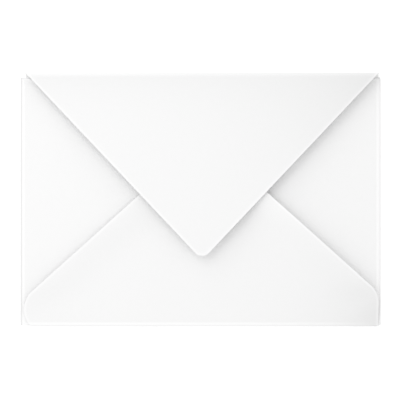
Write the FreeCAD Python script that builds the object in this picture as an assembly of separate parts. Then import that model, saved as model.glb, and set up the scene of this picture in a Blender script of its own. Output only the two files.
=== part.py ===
import FreeCAD, Part
import math
import os

# Paper envelope with a pointed flap: one sheet, cut out, folded along four creases and glued along two seams.
# Millimetres. The address panel lies face down on Z = 0, the point of the closing flap looks along -Y,
# and the origin is under the middle of the folded envelope.

# The folded envelope and its paper
envelope_width = 162.0
envelope_height = 114.0
paper_thickness = 0.15

# Creases. The side and bottom creases are pressed flat, and the closing flap's is left as a soft roll.
side_crease_inner_radius = 0.15
bottom_crease_ease = 0.08  # between the side creases and the bottom crease, which turns round their outside
closing_crease_inner_radius = 1.95

# Clear heights between the layers, where each flap bows highest
pocket_height = 1.2  # over the address panel, under the tips of the side flaps
glue_thickness = 0.12  # between a side flap and the bottom flap
closing_flap_lift = 3.4  # over the bottom flap

# Side flaps, which lie under the other two
side_flap_drop = 1.0  # both lie this far below the middle
side_flap_tip_gap = 22.0  # from the tip of one to the tip of the other
side_flap_inset = 1.8  # how much shorter the foot of a flap is than the panel, at each end
side_flap_tip_radius = 6.0
side_flap_shoulder_radius = 10.0
side_flap_bulge = 0.2  # how far the shoulders stand out beyond the foot

# Bottom flap. Its left shoulder stands out and its right one rises straight up, beside the folded side.
bottom_flap_shift = 1.8  # to the right of the middle
bottom_flap_tip_clearance = 31.4  # from the tip to the folded top edge
bottom_flap_inset = 3.1
bottom_flap_tip_radius = 8.0
bottom_flap_shoulder_radius = 11.0
bottom_flap_left_bulge = 3.1
bottom_flap_right_rise = 10.5  # the straight part beside the right end of the crease

# Closing flap, which has no shoulders
closing_flap_shift = 0.7
closing_flap_tip_clearance = 31.9  # from the tip to the folded bottom edge
closing_flap_inset = 1.7
closing_flap_tip_radius = 4.2

# Glued seams, along the lower cut edge of each side flap
seam_width = 4.0
seam_margin = 1.5  # from the cut edge
seam_end_clearance = 6.0  # from each end of the straight part of the cut edge

# How far a cutting shape reaches past what it cuts
overrun = 1.0
UP = FreeCAD.Vector(0.0, 0.0, 1.0)


def outer_tangent(first, first_radius, second, second_radius):
    """Where the straight line that touches two circles, on the right of the way between them, meets each."""
    way_u = second[0] - first[0]
    way_v = second[1] - first[1]
    length = math.hypot(way_u, way_v)
    way_u /= length
    way_v /= length
    lean = (first_radius - second_radius) / length
    square = math.sqrt(1.0 - lean * lean)
    normal_u = lean * way_u + square * way_v
    normal_v = lean * way_v - square * way_u
    leave = (first[0] + first_radius * normal_u, first[1] + first_radius * normal_v)
    meet = (second[0] + second_radius * normal_u, second[1] + second_radius * normal_v)
    return leave, meet


class CutShape:
    """Half of a flap's outline: places are (across, inward) from the middle of the folded edge."""

    def __init__(self, foot, depth, tip_radius, shoulder_radius=0.0, bulge=0.0, rise=0.0):
        drop = shoulder_radius - bulge
        self.foot = foot
        self.half_width = foot + bulge
        self.depth = depth
        self.shoulder_radius = shoulder_radius
        self.shoulder_start = (foot, rise)
        self.shoulder_centre = (foot - drop, rise + math.sqrt(shoulder_radius**2 - drop**2))
        self.edge_start, self.edge_end = outer_tangent(
            self.shoulder_centre, shoulder_radius, (0.0, depth - tip_radius), tip_radius
        )

    def shoulder_middle(self):
        """The place half-way round the shoulder, up to the start of the straight edge."""
        centre_u, centre_v = self.shoulder_centre
        ends = (self.shoulder_start, self.edge_start)
        angles = [math.atan2(v - centre_v, u - centre_u) for u, v in ends]
        angle = sum(angles) / 2
        return (
            centre_u + self.shoulder_radius * math.cos(angle),
            centre_v + self.shoulder_radius * math.sin(angle),
        )

    def edge_across(self, inward):
        """How far from the middle line the straight edge, or its extension, is at a distance inward."""
        start_u, start_v = self.edge_start
        end_u, end_v = self.edge_end
        return start_u + (end_u - start_u) * (inward - start_v) / (end_v - start_v)


class Flap:
    """A flap that turns over at its crease in a small arc and bows over the layers below in a wide one."""

    def __init__(self, middle, across, inward, halves, inner_radius, crest_distance, crest_underside):
        self.middle = middle
        self.across = across
        self.inward = inward
        self.left, self.right = halves
        self.crease_radius = inner_radius + paper_thickness / 2
        self.outer_radius = inner_radius + paper_thickness
        self.crest_distance = crest_distance
        self.crest_top = crest_underside + paper_thickness
        crest = crest_underside + paper_thickness / 2
        run = crest_distance - self.outer_radius
        rise = crest - self.crease_radius - self.outer_radius
        self.bow_radius = self.crease_radius + (run * run + rise * rise) / (2 * rise)
        self.crease_centre = (self.outer_radius, self.outer_radius)
        self.bow_centre = (crest_distance, crest - self.bow_radius)
        self.start_across = -max(half.half_width for half in halves) - overrun
        self.end_inward = self.right.depth + overrun

    def point(self, across, inward, height=0.0):
        """A place on the flap as a point of the model."""
        return self.middle + self.across * across + self.inward * inward + UP * height

    def section_point(self, inward, height):
        """A point of the flap's section, at the end from which it is drawn."""
        return self.point(self.start_across, inward, height)

    def bow_height(self, inward, offset):
        """Height of the bow at a distance inward, on the paper's middle surface or at an offset above it."""
        radius = self.bow_radius + offset
        away = inward - self.bow_centre[0]
        return self.bow_centre[1] + math.sqrt(radius * radius - away * away)

    def bow_start(self, offset):
        """Where the bow meets the crease: there both arcs have one tangent."""
        way_v = self.crease_centre[0] - self.bow_centre[0]
        way_z = self.crease_centre[1] - self.bow_centre[1]
        length = math.hypot(way_v, way_z)
        radius = self.crease_radius + offset
        return (
            self.crease_centre[0] + radius * way_v / length,
            self.crease_centre[1] + radius * way_z / length,
        )

    def bow_arc(self, offset):
        """The section's wide arc, from the crease to past the tip."""
        start = self.bow_start(offset)
        middle = (start[0] + self.end_inward) / 2
        return Part.Arc(
            self.section_point(*start),
            self.section_point(middle, self.bow_height(middle, offset)),
            self.section_point(self.end_inward, self.bow_height(self.end_inward, offset)),
        ).toShape()

    def crease_arc(self, offset):
        """The section's small arc, from the address panel to the start of the bow."""
        radius = self.crease_radius + offset
        centre_v, centre_z = self.crease_centre
        return Part.Arc(
            self.section_point(centre_v, centre_z - radius),
            self.section_point(centre_v - radius, centre_z),
            self.section_point(*self.bow_start(offset)),
        ).toShape()

    def line(self, first, second):
        """A straight edge of the section between two places (inward, height)."""
        return Part.makeLine(self.section_point(*first), self.section_point(*second))

    def extruded(self, section_edges):
        """What a closed section fills, drawn along the crease."""
        section = Part.Face(Part.Wire(Part.sortEdges(section_edges)[0]))
        return section.extrude(self.across * (-2 * self.start_across))

    def uncut_sheet(self):
        """The crease and the bow at the paper's thickness, before the flap is cut out."""
        half = paper_thickness / 2
        end = self.end_inward
        return self.extruded(
            [
                self.crease_arc(half),
                self.bow_arc(half),
                self.line((end, self.bow_height(end, half)), (end, self.bow_height(end, -half))),
                self.bow_arc(-half),
                self.crease_arc(-half),
                self.line((self.outer_radius, paper_thickness), (self.outer_radius, 0.0)),
            ]
        )

    def space_below(self):
        """The space between the table and the bow's middle surface."""
        start = self.bow_start(0.0)
        end = self.end_inward
        return self.extruded(
            [
                self.bow_arc(0.0),
                self.line((end, self.bow_height(end, 0.0)), (end, 0.0)),
                self.line((end, 0.0), (start[0], 0.0)),
                self.line((start[0], 0.0), start),
            ]
        )

    def outline(self):
        """The cut edge seen from above, closed outside the folded edge."""
        edges = []
        corners = []
        ends = []
        for side, half in ((-1, self.left), (1, self.right)):
            corner = self.point(side * half.foot, -overrun)
            shoulder = self.point(side * half.shoulder_start[0], half.shoulder_start[1])
            start = self.point(side * half.edge_start[0], half.edge_start[1])
            end = self.point(side * half.edge_end[0], half.edge_end[1])
            edges.append(Part.makeLine(corner, shoulder))
            if half.shoulder_radius > 0:
                u, v = half.shoulder_middle()
                edges.append(Part.Arc(shoulder, self.point(side * u, v), start).toShape())
            edges.append(Part.makeLine(start, end))
            corners.append(corner)
            ends.append(end)
        edges.append(Part.Arc(ends[0], self.point(0.0, self.right.depth), ends[1]).toShape())
        edges.append(Part.makeLine(*corners))
        return Part.Wire(Part.sortEdges(edges)[0])

    def footing(self):
        """The space round the lower half of the crease, as wide as the flap's foot."""
        left = -self.left.foot
        right = self.right.foot
        inner = self.outer_radius + overrun
        places = ((left, -overrun), (right, -overrun), (right, inner), (left, inner))
        corners = [self.point(across, inward) for across, inward in places]
        return Part.Face(Part.makePolygon(corners + corners[:1])).extrude(UP * self.outer_radius)

    def solid(self):
        """The finished flap with its crease, cut to its outline above the folded edge."""
        above = Part.Face(self.outline()).extrude(UP * (self.crest_top + overrun))
        above.translate(UP * self.outer_radius)
        return self.uncut_sheet().common(above.fuse(self.footing()))


def side_flap(side):
    """The left (-1) or right (1) flap. It is highest at its tip."""
    depth = (envelope_width - side_flap_tip_gap) / 2
    half = CutShape(
        envelope_height / 2 - side_flap_inset,
        depth,
        side_flap_tip_radius,
        side_flap_shoulder_radius,
        side_flap_bulge,
    )
    return Flap(
        FreeCAD.Vector(side * envelope_width / 2, -side_flap_drop, 0.0),
        FreeCAD.Vector(0.0, 1.0, 0.0),
        FreeCAD.Vector(-side, 0.0, 0.0),
        (half, half),
        side_crease_inner_radius,
        depth,
        paper_thickness + pocket_height,
    )


def bottom_flap(under):
    """The flap that is glued down on the side flaps. It is highest where their lower edges are highest."""
    halves = [
        CutShape(
            envelope_width / 2 - bottom_flap_inset,
            envelope_height - bottom_flap_tip_clearance,
            bottom_flap_tip_radius,
            bottom_flap_shoulder_radius,
            bulge,
            rise,
        )
        for bulge, rise in ((bottom_flap_left_bulge, 0.0), (0.0, bottom_flap_right_rise))
    ]
    return Flap(
        FreeCAD.Vector(bottom_flap_shift, -envelope_height / 2, 0.0),
        FreeCAD.Vector(1.0, 0.0, 0.0),
        FreeCAD.Vector(0.0, 1.0, 0.0),
        halves,
        under.outer_radius + bottom_crease_ease,
        envelope_height / 2 - side_flap_drop - under.left.edge_across(under.crest_distance),
        under.crest_top + glue_thickness,
    )


def closing_flap(under):
    """The pointed flap over all the others. It isn't stuck down, and it is highest at its tip."""
    half = CutShape(
        envelope_width / 2 - closing_flap_inset,
        envelope_height - closing_flap_tip_clearance,
        closing_flap_tip_radius,
    )
    return Flap(
        FreeCAD.Vector(closing_flap_shift, envelope_height / 2, 0.0),
        FreeCAD.Vector(1.0, 0.0, 0.0),
        FreeCAD.Vector(0.0, -1.0, 0.0),
        (half, half),
        closing_crease_inner_radius,
        half.depth,
        under.crest_top + closing_flap_lift,
    )


def address_panel(side, bottom, closing):
    """The flat panel between the four creases."""
    width = envelope_width - 2 * side.outer_radius
    low = -envelope_height / 2 + bottom.outer_radius
    high = envelope_height / 2 - closing.outer_radius
    return Part.makeBox(width, high - low, paper_thickness, FreeCAD.Vector(-width / 2, low, 0.0))


def glued_seam(side, over):
    """The strip of dried glue that holds the bottom flap down on a side flap's lower margin."""
    start = FreeCAD.Vector(-side.left.edge_start[0], side.left.edge_start[1], 0.0)
    end = FreeCAD.Vector(-side.left.edge_end[0], side.left.edge_end[1], 0.0)
    length = (end - start).Length
    along = (end - start).normalize()
    aside = FreeCAD.Vector(along.y, -along.x, 0.0)
    corners = []
    for from_edge, from_start in (
        (seam_margin, seam_end_clearance),
        (seam_margin, length - seam_end_clearance),
        (seam_margin + seam_width, length - seam_end_clearance),
        (seam_margin + seam_width, seam_end_clearance),
    ):
        place = start + along * from_start + aside * from_edge
        corners.append(side.point(place.x, place.y))
    block = Part.Face(Part.makePolygon(corners + corners[:1])).extrude(UP * over.crest_top)
    return block.common(over.space_below()).cut(side.space_below())


def folded_envelope():
    """The whole folded and glued sheet as one solid."""
    sides = [side_flap(side) for side in (-1, 1)]
    bottom = bottom_flap(sides[0])
    closing = closing_flap(bottom)
    pieces = [flap.solid() for flap in (*sides, bottom, closing)]
    pieces += [glued_seam(side, bottom) for side in sides]
    return address_panel(sides[0], bottom, closing).fuse(pieces).removeSplitter()


envelope = folded_envelope()
os.makedirs("parts", exist_ok=True)
envelope.Solids[0].exportStep("parts/envelope.step")
box = envelope.BoundBox
print(
    f"envelope: {len(envelope.Solids)} solid, valid {envelope.isValid()}, "
    f"{box.XLength:.3f} x {box.YLength:.3f} x {box.ZLength:.3f} mm, "
    f"volume {envelope.Volume:.1f} mm3, {len(envelope.Faces)} faces"
)
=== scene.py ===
import math

import bmesh
import bpy
from bpy.props import FloatProperty, FloatVectorProperty, PointerProperty
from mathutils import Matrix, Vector


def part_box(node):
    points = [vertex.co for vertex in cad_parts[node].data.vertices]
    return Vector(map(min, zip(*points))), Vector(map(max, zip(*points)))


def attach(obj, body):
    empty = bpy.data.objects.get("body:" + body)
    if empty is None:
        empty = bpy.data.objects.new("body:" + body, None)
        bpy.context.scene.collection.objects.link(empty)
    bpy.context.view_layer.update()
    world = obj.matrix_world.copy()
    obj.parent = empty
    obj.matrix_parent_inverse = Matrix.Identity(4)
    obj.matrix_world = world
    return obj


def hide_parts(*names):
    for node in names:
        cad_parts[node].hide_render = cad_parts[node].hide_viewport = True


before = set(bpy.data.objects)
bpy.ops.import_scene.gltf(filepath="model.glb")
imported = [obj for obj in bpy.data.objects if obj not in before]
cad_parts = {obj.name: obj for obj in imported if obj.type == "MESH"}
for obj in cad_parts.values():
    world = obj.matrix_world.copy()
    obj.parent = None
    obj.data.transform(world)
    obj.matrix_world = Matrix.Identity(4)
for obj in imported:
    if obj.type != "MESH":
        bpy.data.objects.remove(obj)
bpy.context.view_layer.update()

bl_info = {
    "name": "Paper envelope",
    "version": (1, 0, 0),
    "blender": (4, 5, 0),
    "location": "3D View > Sidebar > Envelope",
    "description": "Folds an envelope out of one sheet of white paper and lays it on a white table",
    "category": "Object",
}

# The model's box, in metres: the envelope lies flap side up with its middle over the origin
NODE_LOW, NODE_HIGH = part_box("envelope")
MM = 0.001

# How finely the sheet is divided
CREASE_STEPS = 10
SHOULDER_STEPS = 12
TIP_STEPS = 10
CREASE_END = 1.2
ROW_LENGTH = 2.6 * MM
COLUMNS_ACROSS = 44
RIM_BAND = 3.0 * MM
RIM_SHARES = (0.0, 0.08, 0.22, 0.45, 0.7)
RIM_MOST = 0.2
SAME_PLACE = 1e-6
SHARP_ANGLE = math.pi / 4

# An edge of the cut outline has fewer faces than this, and no place is as far as this from a crease
INNER_FACES = 2
FAR_OFF = 1.0

# How softly the painted highlight and the painted shade line along cuts and creases end, as shares of their
# reach
LINE_ENDS = (0.7, 1.3)
BAND_ENDS = (0.75, 1.0)

# The share of the spring's end at which the flap starts to be held down
HELD_FROM = 0.5

# The finish beside what a user sets
FIBRE_STRETCH = 0.06
FIBRE_TURNS = (0.5, 0.2)
ROUGHNESS_CHANGE = 0.03
PAPER_SPECULAR = 0.35
GLUE_ROUGHNESS = 0.35
GLUE_ROUGHNESS_CHANGE = 0.2
GLUE_SPOTS = (0.3, 0.7)
TABLE_ROUGHNESS = 0.9


def length(name, description, default):
    """A length in metres that a user can change."""
    return FloatProperty(name=name, description=description, default=default, unit="LENGTH", precision=5)


def share(name, description, default):
    """A number without a unit that a user can change."""
    return FloatProperty(name=name, description=description, default=default, subtype="FACTOR", precision=4)


def angle(name, description, degrees):
    """An angle, given in degrees, that a user can change."""
    return FloatProperty(name=name, description=description, default=math.radians(degrees), unit="ROTATION")


def colour(name, description, default):
    """A colour that a user can change."""
    return FloatVectorProperty(
        name=name, description=description, default=default, size=4, min=0.0, max=1.0, subtype="COLOR"
    )


class EnvelopeSizes(bpy.types.PropertyGroup):
    """The folded envelope, its paper and its flaps."""

    width: length("Width", "Folded width", NODE_HIGH.x - NODE_LOW.x)
    height: length("Height", "Folded height", NODE_HIGH.y - NODE_LOW.y)
    rise: length("Rise", "From the table to the closing flap's highest place", NODE_HIGH.z - NODE_LOW.z)
    thickness: length("Thickness", "Thickness of the paper", 0.15 * MM)

    crease_radius: length("Crease radius", "Inside radius of the side creases", 0.15 * MM)
    bottom_ease: length("Bottom crease ease", "Between the side and the bottom crease", 0.08 * MM)
    closing_radius: length("Closing crease radius", "Inside radius of its soft crease", 1.95 * MM)

    pocket: length("Pocket", "Clear height under the tips of the side flaps", 1.2 * MM)
    glue: length("Glue", "Clear height between the side flaps and the bottom flap", 0.12 * MM)

    side_drop: length("Side flap drop", "How far below the middle both side flaps lie", 1.0 * MM)
    side_gap: length("Side tip gap", "From one side flap's tip to the other's", 22.0 * MM)
    side_inset: length("Side flap inset", "From each end of the panel to the flap's foot", 1.8 * MM)
    side_tip: length("Side flap tip radius", "Rounding of the side flaps' tips", 6.0 * MM)
    side_shoulder: length("Side flap shoulder radius", "Rounding beside the side creases", 10.0 * MM)
    side_bulge: length("Side flap bulge", "How far its shoulders stand out beyond its foot", 0.2 * MM)

    bottom_shift: length("Bottom flap shift", "How far to the right of the middle it lies", 1.8 * MM)
    bottom_clear: length("Bottom flap clearance", "From its tip to the folded top edge", 31.4 * MM)
    bottom_inset: length("Bottom flap inset", "From each end of the panel to the flap's foot", 3.1 * MM)
    bottom_tip: length("Bottom flap tip radius", "Rounding of the bottom flap's tip", 8.0 * MM)
    bottom_shoulder: length("Bottom flap shoulder radius", "Rounding beside the bottom crease", 11.0 * MM)
    bottom_bulge: length("Bottom flap left bulge", "How far its left shoulder stands out", 3.1 * MM)
    bottom_rise: length("Bottom flap right rise", "How high its right edge goes straight up", 10.5 * MM)

    closing_shift: length("Closing flap shift", "How far to the right of the middle it lies", 0.7 * MM)
    closing_clear: length("Closing flap clearance", "From its tip to the folded bottom edge", 31.9 * MM)
    closing_inset: length("Closing flap inset", "From the ends of the folded top edge", 1.7 * MM)
    closing_tip: length("Closing flap tip radius", "Rounding of the closing flap's tip", 4.2 * MM)

    seam_width: length("Seam width", "Width of the strips of glue", 4.0 * MM)
    seam_margin: length("Seam margin", "From a side flap's cut edge to the glue", 1.5 * MM)
    seam_end: length("Seam end", "From each end of the cut edge to the glue", 6.0 * MM)

    spring_left: length("Left spring", "How far the bottom flap's left edge stands up", 1.2 * MM)
    spring_right: length("Right spring", "How far the bottom flap's right edge stands up", 3.3 * MM)
    spring_reach: length("Spring reach", "How far in from the edge that starts", 22.0 * MM)
    spring_start: length("Spring start", "How far from a crease the paper can spring", 20.0 * MM)
    spring_end: length("Spring end", "How far from its crease the flap is held down again", 85.0 * MM)
    wave: length("Wave", "How uneven the flaps lie", 0.12 * MM)
    wave_length: length("Wave length", "From one wave of the paper to the next", 38.0 * MM)


class PaperLook(bpy.types.PropertyGroup):
    """The finish of the paper, with a painted highlight along cuts and creases and painted shade."""

    white: colour("Paper white", "Colour of the sheet", (0.92, 0.92, 0.92, 1.0))
    # This white is a painted highlight along cut edges and creases, where they would catch the light.
    pressed_highlight: colour("Pressed white", "Colour of the paper along cuts and creases", (0.97, 0.97, 0.97, 1.0))
    # This grey is painted shade, not the mark of fingers: on the right corners of the closing and bottom
    # flaps and on the closing flap's soft crease.
    handled: colour("Handled grey", "Colour where fingers have greyed the sheet", (0.8, 0.8, 0.8, 1.0))
    # This grey is a painted shade line along the outer edge of each sharp crease, not crease damage; the
    # three shares below set its strength at each crease.
    shade_line_grey: colour("Worn crease", "Colour of the paper where a crease is sharpest", (0.82, 0.82, 0.82, 1.0))
    left_shade_line: share("Left wear", "How worn the left side crease is", 1.0)
    right_shade_line: share("Right wear", "How worn the right side crease is", 0.42)
    bottom_shade_line: share("Bottom wear", "How worn the bottom crease is", 0.15)
    cloud: share("Cloudiness", "How much the tone of the sheet varies", 0.006)
    cloud_size: length("Cloud size", "Width of a lighter or darker place", 2.2 * MM)
    tooth: length("Tooth", "Depth of the felt marks", 0.015 * MM)
    tooth_size: length("Tooth size", "Width of a felt mark", 0.35 * MM)
    fibre: length("Fibre relief", "Height of single fibres", 0.015 * MM)
    fibre_width: length("Fibre width", "Width of a fibre", 0.06 * MM)
    roughness: share("Roughness", "Roughness of the paper", 0.88)
    # The bands along cuts and creases carry the painted highlight, and the line at a crease's middle carries
    # the painted shade; along a cut the highlight keeps part of the painted shade off.
    cut_reach: length("Cut reach", "Width of the pressed band along a cut", 1.6 * MM)
    cut_shade_cleared: share("Cut clean", "How much of the grey the band along a cut keeps off", 0.5)
    fold_line: length("Fold line", "From a crease's middle to the end of its grey line", 0.95 * MM)
    crease_reach: length("Crease reach", "From a crease's middle to the end of its pressed band", 2.3 * MM)
    # The painted shade on the closing flap's soft crease and at the right corners of the closing and bottom
    # flaps.
    roll_shade: share("Soft crease grey", "How much the closing flap's crease is greyed", 0.45)
    roll_reach: length("Soft crease reach", "How far past its crease the closing flap is greyed", 12.0 * MM)
    closing_shade_reach: length("Closing flap grey", "How far its right corner is greyed", 36.0 * MM)
    bottom_shade_reach: length("Bottom flap grey", "How far its right corner is greyed", 20.0 * MM)
    glue_colour: colour("Dried glue", "Colour of the glue in the seams", (0.86, 0.83, 0.76, 1.0))


class StageLook(bpy.types.PropertyGroup):
    """The table, the light and the camera."""

    table_white: colour("Table white", "Colour of the table", (0.9, 0.9, 0.9, 1.0))
    table_glow: share("Table glow", "White that the camera sees on the table beside its light", 0.3)
    sky: share("Sky", "Strength of the even light from all round", 0.91)
    key_power: FloatProperty(name="Key power", description="Power of the lamp", default=2.6, unit="POWER")
    key_size: length("Key size", "Side of the soft lamp", 0.9)
    key_distance: length("Key distance", "From the envelope to the soft lamp", 0.85)
    key_elevation: angle("Key elevation", "Height of the lamp", 29)
    key_azimuth: angle("Key azimuth", "Side of the lamp, from +X", 135)
    view_width: length("View width", "What the picture's width shows", 179.9 * MM)
    view_right: length("View right", "How far the camera's middle lies right of the envelope's", -0.22 * MM)
    view_up: length("View up", "How far the camera's middle lies above the envelope's", -0.22 * MM)
    lens: FloatProperty(name="Lens", description="Focal length", default=120.0, unit="CAMERA")
    table_size: length("Table size", "Side of the table", 3.0)


class Graph:
    """A node tree that is built one node at a time."""

    def __init__(self, tree):
        self.tree = tree
        tree.nodes.clear()

    def add(self, kind, settings=None, inputs=None, output=0):
        """Adds a node: its settings first, then the values or links of its sockets. Gives one output."""
        node = self.tree.nodes.new(kind)
        for name, value in (settings or {}).items():
            setattr(node, name, value)
        for key, value in (inputs or {}).items():
            for item in value if isinstance(value, list) else [value]:
                if isinstance(item, Wire):
                    self.tree.links.new(item.socket, node.inputs[key])
                else:
                    node.inputs[key].default_value = item
        return Wire(self, node.outputs[output]) if node.outputs else node

    def smallest(self, first, *others):
        """The smallest of several values."""
        for other in others:
            first = first.math("MINIMUM", other)
        return first

    def subtract(self, first, second):
        """A vector between two places."""
        return self.add("ShaderNodeVectorMath", {"operation": "SUBTRACT"}, {0: first, 1: second})

    def dot(self, first, second):
        """How far one vector reaches along another."""
        settings = {"operation": "DOT_PRODUCT"}
        return self.add("ShaderNodeVectorMath", settings, {0: first, 1: second}, output=1)

    def fade(self, value, start, end):
        """1 where the value is at the start, and smoothly down to 0 where it is at the end."""
        settings = {"interpolation_type": "SMOOTHSTEP"}
        ends = {"From Min": start, "From Max": end, "To Min": 1.0, "To Max": 0.0}
        return self.add("ShaderNodeMapRange", settings, {"Value": value, **ends})

    def blend(self, factor, first, second):
        """One colour turned into another."""
        return self.add("ShaderNodeMix", {"data_type": "RGBA"}, {0: factor, 6: first, 7: second}, output=2)


class Wire:
    """A value in a node tree. Arithmetic on it adds Math nodes."""

    def __init__(self, graph, socket):
        self.graph = graph
        self.socket = socket

    def other(self, name):
        """Another output of the same node."""
        return Wire(self.graph, self.socket.node.outputs[name])

    def math(self, operation, *others):
        return self.graph.add("ShaderNodeMath", {"operation": operation}, dict(enumerate((self, *others))))

    def from_number(self, number, operation):
        return self.graph.add("ShaderNodeMath", {"operation": operation}, {0: number, 1: self})

    def __add__(self, other):
        return self.math("ADD", other)

    def __radd__(self, other):
        return self.math("ADD", other)

    def __sub__(self, other):
        return self.math("SUBTRACT", other)

    def __rsub__(self, other):
        return self.from_number(other, "SUBTRACT")

    def __mul__(self, other):
        return self.math("MULTIPLY", other)

    def __truediv__(self, other):
        return self.math("DIVIDE", other)

    def __rtruediv__(self, other):
        return self.from_number(other, "DIVIDE")


def outer_tangent(first, first_radius, second, second_radius):
    """Where a straight line that touches two circles, on the right of the way between them, meets each."""
    way = Vector(second) - Vector(first)
    gap = way.length
    way.normalize()
    lean = (first_radius - second_radius) / gap
    normal = lean * way + math.sqrt(1.0 - lean * lean) * Vector((way.y, -way.x))
    return Vector(first) + first_radius * normal, Vector(second) + second_radius * normal


class CutShape:
    """Half of a flap's cut outline: places are (across, inward) from the middle of the folded edge."""

    def __init__(self, foot, depth, tip_radius, shoulder_radius=0.0, bulge=0.0, rise=0.0):
        drop = shoulder_radius - bulge
        self.foot = foot
        self.depth = depth
        self.rise = rise
        self.tip_radius = tip_radius
        self.tip = (0.0, depth - tip_radius)
        self.shoulder_radius = shoulder_radius
        self.shoulder = (foot - drop, rise + math.sqrt(shoulder_radius**2 - drop**2))
        self.edge_start, self.edge_end = outer_tangent(self.shoulder, shoulder_radius, self.tip, tip_radius)

    def edge_across(self, inward):
        """How far from the middle line the straight cut edge is at a distance inward."""
        slope = (self.edge_end.x - self.edge_start.x) / (self.edge_end.y - self.edge_start.y)
        return self.edge_start.x + slope * (inward - self.edge_start.y)

    def width(self, inward):
        """How far from the middle line the outline is at a distance from the folded edge."""
        if inward <= self.rise:
            return self.foot
        if inward < self.edge_start.y:
            return self.shoulder[0] + math.sqrt(self.shoulder_radius**2 - (inward - self.shoulder[1]) ** 2)
        if inward < self.edge_end.y:
            return self.edge_across(inward)
        return math.sqrt(max(self.tip_radius**2 - (inward - self.tip[1]) ** 2, 0.0))

    def shoulder_places(self):
        """Distances inward at even angles round the shoulder."""
        return arc_places(self.shoulder, self.shoulder_radius, self.rise, self.edge_start.y, SHOULDER_STEPS)


class Flap:
    """A flap's cut shape and section: a small arc round the crease, then a wide one over what is below."""

    def __init__(self, name, edge, inward, halves, inner_radius, thickness, crest_underside):
        self.name = name
        self.pressed_highlight = name != "Closing"
        self.edge = Vector(edge)
        self.inward = Vector(inward)
        self.across = Vector((abs(inward[1]), abs(inward[0]), 0.0))
        self.left, self.right = halves
        self.foot = self.right.foot
        self.depth = self.right.depth
        self.thickness = thickness
        self.radius = inner_radius + thickness / 2
        self.outer = inner_radius + thickness
        self.crest_top = crest_underside + thickness
        self.crest_at(self.depth)

    def crest_at(self, distance):
        """Sets where the wide arc is level. It takes off from the crease's arc."""
        run = distance - self.outer
        rise = self.crest_top - self.thickness / 2 - self.radius - self.outer
        self.crest_distance = distance
        self.bow_radius = self.radius + (run * run + rise * rise) / (2 * rise)
        self.take_off = math.asin(run / (self.bow_radius - self.radius))

    def height(self, inward, offset):
        """Height, at a distance from the folded edge, of the surface that far above the bow's middle one."""
        radius = self.bow_radius + offset
        away = inward - self.crest_distance
        centre = self.crest_top - self.thickness / 2 - self.bow_radius
        return centre + math.sqrt(radius * radius - away * away)

    def along_sheet(self, inward):
        """Distance along the sheet, from the address panel's edge, of a place on the bow."""
        start = math.sin(self.take_off)
        angle = math.asin((inward - self.outer + self.radius * start) / self.bow_radius - start)
        return self.radius * (math.pi - self.take_off) + self.bow_radius * (angle + self.take_off)

    def rows(self):
        """Rows from the panel to the tip: (distance along the sheet, left and right of the middle)."""
        turn = math.pi - self.take_off
        found = []
        for step in range(CREASE_STEPS + 1):
            angle = turn * step / CREASE_STEPS
            inward = self.outer - self.radius * math.sin(angle) if angle > math.pi / 2 else 0.0
            found.append((self.radius * angle, self.left.width(inward), self.right.width(inward)))
        start = max(self.left.edge_start.y, self.right.edge_start.y)
        end = min(self.left.edge_end.y, self.right.edge_end.y)
        straight = round((end - start) / ROW_LENGTH)
        places = [self.outer * 2, self.depth, *self.left.shoulder_places(), *self.right.shoulder_places()]
        places += [start + (end - start) * step / straight for step in range(straight)]
        places += arc_places(self.right.tip, self.right.tip_radius, end, self.depth, TIP_STEPS)
        for place in sorted(set(places)):
            if place > self.outer * CREASE_END:
                found.append((self.along_sheet(place), self.left.width(place), self.right.width(place)))
        return found

    def flat_place(self, across, along):
        """A place of the flat sheet, before it is folded."""
        return self.edge + self.across * across + self.inward * (self.outer - along)


def arc_places(centre, radius, low, high, steps):
    """Distances inward at even angles round a corner, from low up to, but without, high."""
    if radius <= 0.0:
        return []
    first = math.asin(max(min((low - centre[1]) / radius, 1.0), -1.0))
    last = math.asin(max(min((high - centre[1]) / radius, 1.0), -1.0))
    return [centre[1] + radius * math.sin(first + (last - first) * step / steps) for step in range(steps)]


def columns(left, right):
    """Places across a row, closer together beside the two cut edges."""
    band = min(RIM_BAND, RIM_MOST * (left + right))
    inner = left + right - 2 * band
    rim = [band * at for at in RIM_SHARES]
    middle = [band + inner * step / COLUMNS_ACROSS for step in range(COLUMNS_ACROSS + 1)]
    last = [right - from_right for from_right in reversed(rim)]
    return [from_left - left for from_left in rim + middle] + last


def all_flaps(sizes):
    """The four flaps, each over the one before it."""
    half_width = sizes.width / 2
    half_height = sizes.height / 2
    thickness = sizes.thickness
    side = CutShape(
        half_height - sizes.side_inset,
        half_width - sizes.side_gap / 2,
        sizes.side_tip,
        sizes.side_shoulder,
        sizes.side_bulge,
    )
    under = thickness + sizes.pocket
    radius = sizes.crease_radius
    drop = -sizes.side_drop
    left = Flap("Left", (-half_width, drop, 0), (1, 0, 0), (side, side), radius, thickness, under)
    right = Flap("Right", (half_width, drop, 0), (-1, 0, 0), (side, side), radius, thickness, under)
    shoulders = ((sizes.bottom_bulge, 0.0), (0.0, sizes.bottom_rise))
    halves = [
        CutShape(
            half_width - sizes.bottom_inset,
            sizes.height - sizes.bottom_clear,
            sizes.bottom_tip,
            sizes.bottom_shoulder,
            bulge,
            rise,
        )
        for bulge, rise in shoulders
    ]
    under = left.crest_top + sizes.glue
    radius = left.outer + sizes.bottom_ease
    edge = (sizes.bottom_shift, -half_height, 0)
    bottom = Flap("Bottom", edge, (0, 1, 0), halves, radius, thickness, under)
    bottom.crest_at(half_height + drop - side.edge_across(left.crest_distance))
    half = CutShape(half_width - sizes.closing_inset, sizes.height - sizes.closing_clear, sizes.closing_tip)
    under = sizes.rise - thickness
    edge = (sizes.closing_shift, half_height, 0)
    closing = Flap("Closing", edge, (0, -1, 0), (half, half), sizes.closing_radius, thickness, under)
    return left, right, bottom, closing


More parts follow.
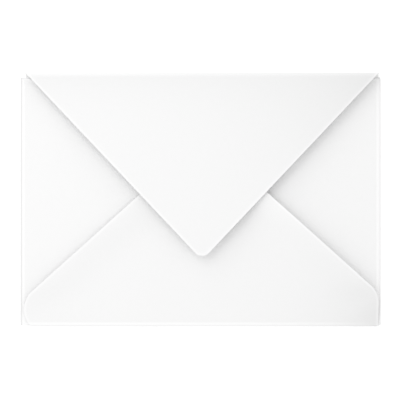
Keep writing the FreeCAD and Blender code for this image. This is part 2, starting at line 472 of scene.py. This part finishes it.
def grid_faces(sheet, rows):
    """Quads between rows of vertices, facing down like the outside of the sheet."""
    for low, high in zip(rows, rows[1:]):
        for left, right, over_right, over_left in zip(low, low[1:], high[1:], high):
            sheet.faces.new((left, right, over_right, over_left))


def flat_flap(sheet, flap):
    """The flap's part of the flat sheet. Gives its first row, which it shares with the panel."""
    rows = []
    for along, left, right in flap.rows():
        rows.append([sheet.verts.new(flap.flat_place(across, along)) for across in columns(left, right)])
    grid_faces(sheet, rows)
    return [vertex.co.copy() for vertex in rows[0]]


def flat_panel(sheet, left, right, bottom, closing):
    """The address panel, whose rows and columns run from one flap's first row to the opposite one's."""
    low = bottom[0].y
    high = closing[0].y
    south, north = [
        [Vector((left[0].x, y, 0.0)), *flap, Vector((right[0].x, y, 0.0))]
        for y, flap in ((low, bottom), (high, closing))
    ]
    rows = []
    for y in [low, *[place.y for place in left], high]:
        up = (y - low) / (high - low)
        across = [start.lerp(end, up).x for start, end in zip(south, north)]
        rows.append([sheet.verts.new((x, y, 0.0)) for x in across])
    grid_faces(sheet, rows)


def flat_sheet(flaps):
    """The cut sheet before folding, one layer of faces on Z = 0."""
    sheet = bmesh.new()
    flat_panel(sheet, *[flat_flap(sheet, flap) for flap in flaps])
    bmesh.ops.remove_doubles(sheet, verts=sheet.verts, dist=SAME_PLACE)
    bmesh.ops.dissolve_degenerate(sheet, edges=sheet.edges, dist=SAME_PLACE)
    bmesh.ops.recalc_face_normals(sheet, faces=sheet.faces)
    if sheet.faces[:][0].normal.z > 0:
        bmesh.ops.reverse_faces(sheet, faces=sheet.faces)
    mesh = bpy.data.meshes.new("folded_sheet")
    sheet.to_mesh(mesh)
    sheet.free()
    return mesh


FOLD_INPUTS = (
    ("Folded edge", "NodeSocketVector"),
    ("Inward", "NodeSocketVector"),
    ("Crease radius", "NodeSocketFloat"),
    ("Bow radius", "NodeSocketFloat"),
    ("Take-off angle", "NodeSocketFloat"),
)


def new_tree(name, inputs):
    """An empty geometry tree with named inputs. Gives its graph and its inputs by name."""
    tree = bpy.data.node_groups.new(name, "GeometryNodeTree")
    tree.interface.new_socket("Geometry", in_out="OUTPUT", socket_type="NodeSocketGeometry")
    tree.interface.new_socket("Geometry", in_out="INPUT", socket_type="NodeSocketGeometry")
    for label, kind in inputs:
        tree.interface.new_socket(label, in_out="INPUT", socket_type=kind)
    graph = Graph(tree)
    first = graph.add("NodeGroupInput")
    return graph, {label: first.other(label) for label in ["Geometry", *[label for label, kind in inputs]]}


def fold_group():
    """Turns what lies beyond one crease over, in a small arc and then a wide one."""
    graph, given = new_tree("Fold one flap", [*FOLD_INPUTS, ("Thickness", "NodeSocketFloat")])
    place = graph.add("GeometryNodeInputPosition")
    radius = given["Crease radius"]
    bow = given["Bow radius"]
    angle = given["Take-off angle"]
    half = given["Thickness"] * 0.5
    height = graph.add("ShaderNodeSeparateXYZ", None, {0: place}).other("Z")
    outside = half - height
    inward = graph.dot(graph.subtract(place, given["Folded edge"]), given["Inward"])
    outer = radius + half
    along = outer - inward
    whole_turn = math.pi - angle
    turn = graph.smallest(along / radius, whole_turn)
    ahead = (along - radius * whole_turn).math("MAXIMUM", 0.0) / bow
    chord = (bow + outside) * 2.0 * (ahead * 0.5).math("SINE")
    slope = ahead * 0.5 - angle
    arm = radius + outside
    new_inward = outer - arm * turn.math("SINE") + chord * slope.math("COSINE")
    new_height = outer - arm * turn.math("COSINE") - chord * slope.math("SINE")
    level = graph.add(
        "ShaderNodeVectorMath", {"operation": "SCALE"}, {0: given["Inward"], 3: new_inward - inward}
    )
    lift = graph.add("ShaderNodeCombineXYZ", None, {"Z": new_height - height})
    move = graph.add("ShaderNodeVectorMath", {"operation": "ADD"}, {0: level, 1: lift})
    beyond = along.math("GREATER_THAN", 0.0)
    inputs = {"Geometry": given["Geometry"], "Selection": beyond, "Offset": move}
    moved = graph.add("GeometryNodeSetPosition", None, inputs)
    graph.add("NodeGroupOutput", None, {"Geometry": moved})
    return graph.tree


def store(graph, geometry, name, value, kind="FLOAT", domain="POINT"):
    """Keeps a value on the mesh under a name."""
    settings = {"data_type": kind, "domain": domain}
    inputs = {"Geometry": geometry, "Name": name, "Value": value}
    return graph.add("GeometryNodeStoreNamedAttribute", settings, inputs)


def kept(graph, name):
    """A value that was kept on the mesh."""
    return graph.add("GeometryNodeInputNamedAttribute", {"data_type": "FLOAT"}, {"Name": name})


def place_on_flap(graph, flap, given):
    """Where a place of the flat sheet is on a flap: across from its middle line, and on past the panel."""
    place = graph.add("GeometryNodeInputPosition")
    from_edge = graph.subtract(place, given[f"{flap.name} folded edge"])
    inward = graph.dot(from_edge, given[f"{flap.name} inward"])
    across = graph.dot(from_edge, tuple(flap.across))
    return across, given[f"{flap.name} crease radius"] + given["Thickness"] * 0.5 - inward


def crease_distances(graph, flaps, given):
    """How far a flat place is from the nearest sharp crease, how strongly that crease gets the painted shade
    line, and how far past any.
    """
    nearest = FAR_OFF
    beyond = 0.0
    wear = 0.0
    for flap in flaps:
        across, along = place_on_flap(graph, flap, given)
        radius = given[f"{flap.name} crease radius"]
        beyond = (along - radius * math.pi).math("MAXIMUM", beyond)
        # Only the sharp creases carry the painted highlight band and the painted shade line.
        if flap.pressed_highlight:
            from_crease = (along - radius * (math.pi / 2)).math("ABSOLUTE")
            past_end = across.math("ABSOLUTE") - flap.foot
            distance = from_crease.math("MAXIMUM", past_end)
            nearer = distance.math("LESS_THAN", nearest)
            wear = nearer * given[f"{flap.name} wear"] + (1.0 - nearer) * wear
            nearest = distance.math("MINIMUM", nearest)
    return nearest, wear, beyond


def painted_corner_shade(graph, flap, given, reach):
    """How much painted shade a flap has at its right corner: 1 there, and less with the distance."""
    across, along = place_on_flap(graph, flap, given)
    turn = given[f"{flap.name} crease radius"] * math.pi
    sideways = flap.foot - across
    onwards = along - turn
    distance = (sideways * sideways + onwards * onwards).math("SQRT")
    on_flap = 1.0 - graph.fade(along, 0.0, turn)
    return (distance * -1.0 / reach).math("EXPONENT") * on_flap


def painted_roll_shade(graph, flap, given):
    """How much painted shade the closing flap has: most outside its soft crease, and less towards its tip.
    """
    along = place_on_flap(graph, flap, given)[1]
    outside = given[f"{flap.name} crease radius"] * (math.pi / 2)
    past = (along - outside).math("MAXIMUM", 0.0)
    on_roll = 1.0 - graph.fade(along, 0.0, outside)
    return (past * -1.0 / given["Soft crease reach"]).math("EXPONENT") * on_roll * given["Soft crease grey"]


def thicken(graph, sheet, thickness):
    """Gives one layer of faces the paper's thickness and closes it all round."""
    inside = graph.add("ShaderNodeCombineXYZ", None, {"Z": 1.0})
    raised = graph.add(
        "GeometryNodeExtrudeMesh", {"mode": "FACES"}, {0: sheet, 2: inside, 3: thickness, 4: False}
    )
    turned = graph.add("GeometryNodeFlipFaces", None, {0: raised})
    joined = graph.add("GeometryNodeJoinGeometry", None, {0: [turned, sheet]})
    closed = graph.add("GeometryNodeMergeByDistance", None, {0: joined, 2: SAME_PLACE})
    corner = graph.add("GeometryNodeInputMeshEdgeAngle").math("GREATER_THAN", SHARP_ANGLE)
    smooth = graph.add("GeometryNodeSetShadeSmooth", None, {0: closed, 2: True})
    return store(graph, smooth, "sharp_edge", corner, "BOOLEAN", "EDGE")


def settle(graph, sheet, given):
    """Lets the flaps lie a little unevenly, and the bottom flap's free edge spring up."""
    place = graph.add("GeometryNodeInputPosition")
    where = graph.add("ShaderNodeSeparateXYZ", None, {0: place})
    level = graph.add("ShaderNodeCombineXYZ", None, {"X": where, "Y": where.other("Y")})
    beyond = kept(graph, "beyond")
    free = 1.0 - graph.fade(beyond, 0.0, given["Spring start"])
    held = graph.fade(beyond, given["Spring end"] * HELD_FROM, given["Spring end"])
    noise = graph.add(
        "ShaderNodeTexNoise",
        {"noise_dimensions": "3D"},
        {"Vector": level, "Scale": 1.0 / given["Wave length"], "Detail": 1.0},
    )
    wave = (noise - 0.5) * 2.0 * given["Wave"]
    near_edge = graph.fade(kept(graph, "rim"), 0.0, given["Spring reach"])
    on_right = 1.0 - graph.fade(where, given["Spring reach"] * -1.0, given["Spring reach"])
    spring = given["Left spring"] + (given["Right spring"] - given["Left spring"]) * on_right
    spring = near_edge * near_edge * spring * kept(graph, "bottom") * held
    lift = graph.add("ShaderNodeCombineXYZ", None, {"Z": (wave + spring) * free})
    return graph.add("GeometryNodeSetPosition", None, {"Geometry": sheet, "Offset": lift})


def fold_inputs(flaps, sizes, look):
    """The inputs of the whole folding: the name, kind and value of each."""
    found = []
    for flap in flaps:
        given = (flap.edge, flap.inward, flap.radius, flap.bow_radius, flap.take_off)
        for (label, kind), value in zip(FOLD_INPUTS, given):
            found.append((f"{flap.name} {label.lower()}", kind, value))
    for label, value in (
        ("Thickness", sizes.thickness),
        ("Left spring", sizes.spring_left),
        ("Right spring", sizes.spring_right),
        ("Spring reach", sizes.spring_reach),
        ("Spring start", sizes.spring_start),
        ("Spring end", sizes.spring_end),
        ("Wave", sizes.wave),
        ("Wave length", sizes.wave_length),
        ("Left wear", look.left_shade_line),
        ("Right wear", look.right_shade_line),
        ("Bottom wear", look.bottom_shade_line),
        ("Bottom flap grey", look.bottom_shade_reach),
        ("Closing flap grey", look.closing_shade_reach),
        ("Soft crease grey", look.roll_shade),
        ("Soft crease reach", look.roll_reach),
    ):
        found.append((label, "NodeSocketFloat", value))
    return found


def note_on_sheet(graph, sheet, flaps, given):
    """Keeps on the flat sheet what the folded one needs: places, distances and where shade is painted."""
    bottom, closing = flaps[2:]
    cut = graph.add("GeometryNodeInputMeshEdgeNeighbors").math("LESS_THAN", INNER_FACES)
    outline = graph.add("GeometryNodeSeparateGeometry", {"domain": "EDGE"}, {0: sheet, 1: cut})
    rim = graph.add("GeometryNodeProximity", {"target_element": "EDGES"}, {0: outline}, output=1)
    nearest, wear, beyond = crease_distances(graph, flaps, given)
    place = graph.add("GeometryNodeInputPosition")
    up = graph.add("ShaderNodeSeparateXYZ", None, {0: place}).other("Y")
    bottom_corner = painted_corner_shade(graph, bottom, given, given["Bottom flap grey"])
    closing_corner = painted_corner_shade(graph, closing, given, given["Closing flap grey"])
    closing_shade = closing_corner + painted_roll_shade(graph, closing, given) * (1.0 - closing_corner)
    sheet = store(graph, sheet, "sheet_place", place, "FLOAT_VECTOR")
    for name, value in (
        ("rim", rim),
        ("crease", nearest),
        # How strongly each sharp crease gets the painted shade line.
        ("wear", wear),
        ("beyond", beyond),
        ("bottom", up.math("LESS_THAN", bottom.edge.y)),
        # The painted shade at the flaps' right corners and on the closing flap's soft crease.
        ("handled", bottom_corner.math("MAXIMUM", closing_shade)),
    ):
        sheet = store(graph, sheet, name, value)
    return sheet


def fold_tree(flaps, sizes, look):
    """The whole folding, from flat sheet to envelope. Gives the tree and the values of its inputs."""
    inputs = fold_inputs(flaps, sizes, look)
    graph, given = new_tree("Fold the envelope", [(name, kind) for name, kind, value in inputs])
    sheet = note_on_sheet(graph, given["Geometry"], flaps, given)
    sheet = thicken(graph, sheet, given["Thickness"])
    folding = fold_group()
    for flap in flaps:
        links = {label: given[f"{flap.name} {label.lower()}"] for label, kind in FOLD_INPUTS}
        sheet = graph.add(
            "GeometryNodeGroup",
            {"node_tree": folding},
            {"Geometry": sheet, "Thickness": given["Thickness"], **links},
        )
    sheet = settle(graph, sheet, given)
    sheet = graph.add("GeometryNodeRealizeInstances", None, {0: sheet})
    sheet = graph.add("GeometryNodeSetMaterial", None, {0: sheet, "Material": paper_material(look)})
    graph.add("NodeGroupOutput", None, {"Geometry": sheet})
    return graph.tree, {name: value for name, kind, value in inputs}


def link(name, data, context):
    """A new object in the scene."""
    found = bpy.data.objects.new(name, data)
    context.scene.collection.objects.link(found)
    return found


def as_plain_mesh(name, mesh, tree, values, context):
    """Runs a geometry tree on a mesh and keeps the result as an object with a plain mesh."""
    maker = link(f"{name}_maker", mesh, context)
    modifier = maker.modifiers.new("Fold", "NODES")
    modifier.node_group = tree
    for item in tree.interface.items_tree:
        if item.item_type == "SOCKET" and item.in_out == "INPUT" and item.name in values:
            modifier[item.identifier] = values[item.name]
    context.view_layer.update()
    made = bpy.data.meshes.new_from_object(maker.evaluated_get(context.evaluated_depsgraph_get()))
    bpy.data.objects.remove(maker)
    finish = made.materials[-1]
    made.materials.clear()
    made.materials.append(finish)
    made.name = name
    return link(name, made, context)


def new_material(name):
    """An empty material. Gives it and its graph."""
    material = bpy.data.materials.new(name)
    material.use_nodes = True
    return material, Graph(material.node_tree)


def paper_tone(graph, look, cloud):
    """The paper's colour: white, with a painted highlight at cuts and creases, painted shade at the flaps'
    right corners and on the closing flap's soft crease, and a painted shade line along the sharp creases.
    """
    rim, crease, wear, handled = [
        graph.add("ShaderNodeAttribute", {"attribute_name": name}, output="Fac")
        for name in ("rim", "crease", "wear", "handled")
    ]
    crease_highlight = graph.fade(crease, *[look.crease_reach * end for end in BAND_ENDS])
    cut_highlight = graph.fade(rim, 0.0, look.cut_reach)
    # A painted highlight along cut edges and creases.
    tone = graph.blend(cut_highlight.math("MAXIMUM", crease_highlight), tuple(look.white), tuple(look.pressed_highlight))
    # Painted shade at the flaps' right corners and on the closing flap's soft crease, partly kept off along
    # cuts by the highlight.
    tone = graph.blend(handled * (1.0 - cut_highlight * look.cut_shade_cleared), tone, tuple(look.handled))
    # A painted shade line along the outer edge of each sharp crease, with its own strength at each crease.
    shade_line = graph.fade(crease, *[look.fold_line * end for end in LINE_ENDS]) * wear
    tone = graph.blend(shade_line, tone, tuple(look.shade_line_grey))
    dimmer = 1.0 - look.cloud + cloud * look.cloud
    return graph.add("ShaderNodeVectorMath", {"operation": "SCALE"}, {0: tone, 3: dimmer})


def paper_material(look):
    """White uncoated paper: cloudy tone, felt marks and single fibres."""
    material, graph = new_material("white_paper")
    place = graph.add("ShaderNodeAttribute", {"attribute_name": "sheet_place"}, output="Vector")

    def noise(size, detail=2.0, where=place):
        inputs = {"Vector": where, "Scale": 1.0 / size, "Detail": detail}
        return graph.add("ShaderNodeTexNoise", None, inputs)

    cloud = (noise(look.cloud_size, detail=3.0) - 0.5) * 2.0
    fibres = []
    for stretch, turn in zip(((1.0, FIBRE_STRETCH, 1.0), (FIBRE_STRETCH, 1.0, 1.0)), FIBRE_TURNS):
        drawn = graph.add(
            "ShaderNodeMapping", None, {"Vector": place, "Rotation": (0, 0, turn), "Scale": stretch}
        )
        fibres.append(noise(look.fibre_width, detail=1.0, where=drawn))
    relief = noise(look.tooth_size) * look.tooth + graph.smallest(*fibres) * look.fibre
    normal = graph.add("ShaderNodeBump", None, {"Strength": 1.0, "Distance": 1.0, "Height": relief})
    paper = graph.add(
        "ShaderNodeBsdfPrincipled",
        None,
        {
            "Base Color": paper_tone(graph, look, cloud),
            "Roughness": look.roughness + cloud * ROUGHNESS_CHANGE,
            "Normal": normal,
            "Specular IOR Level": PAPER_SPECULAR,
        },
    )
    graph.add("ShaderNodeOutputMaterial", None, {"Surface": paper})
    return material


def glue_material(look):
    """Dried glue: a thin, faintly yellow film."""
    material, graph = new_material("dried_glue")
    place = graph.add("ShaderNodeTexCoord", output="Object")
    spots = graph.add("ShaderNodeTexNoise", None, {"Vector": place, "Scale": 1.0 / look.cloud_size})
    tone = graph.blend(graph.fade(spots, *GLUE_SPOTS), tuple(look.glue_colour), tuple(look.white))
    rough = GLUE_ROUGHNESS + spots * GLUE_ROUGHNESS_CHANGE
    film = graph.add("ShaderNodeBsdfPrincipled", None, {"Base Color": tone, "Roughness": rough})
    graph.add("ShaderNodeOutputMaterial", None, {"Surface": film})
    return material


class ENVELOPE_OT_fold_sheet(bpy.types.Operator):
    """Cuts the sheet, folds it along its four creases and puts it in the model's place"""

    bl_idname = "envelope.fold_sheet"
    bl_label = "Fold the sheet"

    def execute(self, context):
        sizes = context.scene.envelope_sizes
        flaps = all_flaps(sizes)
        tree, values = fold_tree(flaps, sizes, context.scene.paper_look)
        piece = as_plain_mesh("folded_sheet", flat_sheet(flaps), tree, values, context)
        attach(piece, "root")
        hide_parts("envelope")
        return {"FINISHED"}


def seam_grid(under, over, sizes, side):
    """The lower and upper faces of a strip of glue, as rows of places."""
    start = Vector((-under.left.edge_start.x, under.left.edge_start.y))
    end = Vector((-under.left.edge_end.x, under.left.edge_end.y))
    along = (end - start).normalized()
    aside = Vector((along.y, -along.x))
    long = (end - start).length - 2 * sizes.seam_end
    steps = round(long / ROW_LENGTH)
    half = sizes.thickness / 2
    faces = []
    for lower in (True, False):
        rows = []
        for across in (sizes.seam_margin, sizes.seam_margin + sizes.seam_width):
            row = []
            for step in range(steps + 1):
                place = start + along * (sizes.seam_end + long * step / steps) + aside * across
                x = side * (place.y - sizes.width / 2)
                y = place.x - sizes.side_drop
                low = under.height(place.y, half)
                high = over.height(y + sizes.height / 2, -half)
                row.append(Vector((x, y, low if lower else high)))
            rows.append(row)
        faces.append(rows)
    return faces


class ENVELOPE_OT_glue_seams(bpy.types.Operator):
    """Lays the two strips of dried glue between the side flaps and the bottom flap"""

    bl_idname = "envelope.glue_seams"
    bl_label = "Glue the seams"

    def execute(self, context):
        sizes = context.scene.envelope_sizes
        left, right, bottom, closing = all_flaps(sizes)
        strips = bmesh.new()
        for side in (1, -1):
            lower, upper = seam_grid(left, bottom, sizes, side)
            loop = [lower[0], lower[1], upper[1], upper[0]]
            rings = [[strips.verts.new(row[i]) for row in loop] for i in range(len(lower[0]))]
            for ring, following in zip(rings, rings[1:]):
                for i in range(4):
                    strips.faces.new((ring[i - 1], ring[i], following[i], following[i - 1]))
            strips.faces.new(rings[0])
            strips.faces.new(reversed(rings[-1]))
        bmesh.ops.recalc_face_normals(strips, faces=strips.faces)
        mesh = bpy.data.meshes.new("glue_seams")
        strips.to_mesh(mesh)
        strips.free()
        mesh.materials.append(glue_material(context.scene.paper_look))
        piece = link("glue_seams", mesh, context)
        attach(piece, "root")
        return {"FINISHED"}


def seen_by_camera(graph):
    """1 where the camera looks, straight on or by way of a reflection or a clear piece, and otherwise 0."""
    path = graph.add("ShaderNodeLightPath")
    straight = path.math("MAXIMUM", path.other("Is Glossy Ray"))
    return straight.math("MAXIMUM", path.other("Is Transmission Ray"))


def table_material(stage):
    """A white table that the camera sees as white, apart from the envelope's shadow."""
    material, graph = new_material("white_table")
    seen = seen_by_camera(graph)
    table = graph.add(
        "ShaderNodeBsdfPrincipled",
        None,
        {
            "Base Color": tuple(stage.table_white),
            "Roughness": TABLE_ROUGHNESS,
            "Specular IOR Level": 0.0,
            "Emission Color": graph.blend(seen, (0.0, 0.0, 0.0, 1.0), (1.0, 1.0, 1.0, 1.0)),
            "Emission Strength": stage.table_glow,
        },
    )
    graph.add("ShaderNodeOutputMaterial", None, {"Surface": table})
    return material


def white_world(stage):
    """Even light from all round, seen as white by the camera."""
    world = bpy.data.worlds.new("white_room")
    world.use_nodes = True
    graph = Graph(world.node_tree)
    strength = stage.sky + seen_by_camera(graph) * (1.0 - stage.sky)
    room = graph.add("ShaderNodeBackground", None, {"Color": (1.0, 1.0, 1.0, 1.0), "Strength": strength})
    graph.add("ShaderNodeOutputWorld", None, {"Surface": room})
    return world


class ENVELOPE_OT_set_stage(bpy.types.Operator):
    """Puts the envelope on a white table under soft light, with the camera straight above"""

    bl_idname = "envelope.set_stage"
    bl_label = "Set the stage"

    def execute(self, context):
        stage = context.scene.stage_look
        half = stage.table_size / 2
        mesh = bpy.data.meshes.new("table")
        corners = [(-half, -half, 0), (half, -half, 0), (half, half, 0), (-half, half, 0)]
        mesh.from_pydata(corners, [], [(0, 1, 2, 3)])
        mesh.materials.append(table_material(stage))
        link("table", mesh, context)
        context.scene.world = white_world(stage)

        lamp = bpy.data.lights.new("soft_key", "AREA")
        lamp.shape = "SQUARE"
        lamp.size = stage.key_size
        lamp.energy = stage.key_power
        key = link("soft_key", lamp, context)
        level = math.cos(stage.key_elevation)
        towards = Vector(
            (
                level * math.cos(stage.key_azimuth),
                level * math.sin(stage.key_azimuth),
                math.sin(stage.key_elevation),
            )
        )
        key.location = towards * stage.key_distance
        key.rotation_euler = towards.to_track_quat("Z", "Y").to_euler()

        optics = bpy.data.cameras.new("camera")
        optics.lens = stage.lens
        camera = link("camera", optics, context)
        distance = stage.view_width * stage.lens / optics.sensor_width
        camera.location = (stage.view_right, stage.view_up, distance)
        context.scene.camera = camera
        context.scene.view_settings.view_transform = "Standard"
        return {"FINISHED"}


class ENVELOPE_PT_maker(bpy.types.Panel):
    """Sizes, finish and stage of the envelope"""

    bl_label = "Paper envelope"
    bl_space_type = "VIEW_3D"
    bl_region_type = "UI"
    bl_category = "Envelope"

    def draw(self, context):
        for group, operators in (
            (context.scene.envelope_sizes, (ENVELOPE_OT_fold_sheet, ENVELOPE_OT_glue_seams)),
            (context.scene.paper_look, ()),
            (context.scene.stage_look, (ENVELOPE_OT_set_stage,)),
        ):
            box = self.layout.box()
            for name in group.bl_rna.properties.keys():
                if name not in ("rna_type", "name"):
                    box.prop(group, name)
            for operator in operators:
                box.operator(operator.bl_idname)


CLASSES = (
    EnvelopeSizes,
    PaperLook,
    StageLook,
    ENVELOPE_OT_fold_sheet,
    ENVELOPE_OT_glue_seams,
    ENVELOPE_OT_set_stage,
    ENVELOPE_PT_maker,
)


def register():
    for each in CLASSES:
        bpy.utils.register_class(each)
    bpy.types.Scene.envelope_sizes = PointerProperty(type=EnvelopeSizes)
    bpy.types.Scene.paper_look = PointerProperty(type=PaperLook)
    bpy.types.Scene.stage_look = PointerProperty(type=StageLook)


def unregister():
    del bpy.types.Scene.stage_look
    del bpy.types.Scene.paper_look
    del bpy.types.Scene.envelope_sizes
    for each in reversed(CLASSES):
        bpy.utils.unregister_class(each)


def main():
    """Makes everything, in order."""
    register()
    bpy.ops.envelope.fold_sheet()
    bpy.ops.envelope.glue_seams()
    bpy.ops.envelope.set_stage()


if __name__ == "__main__":
    main()
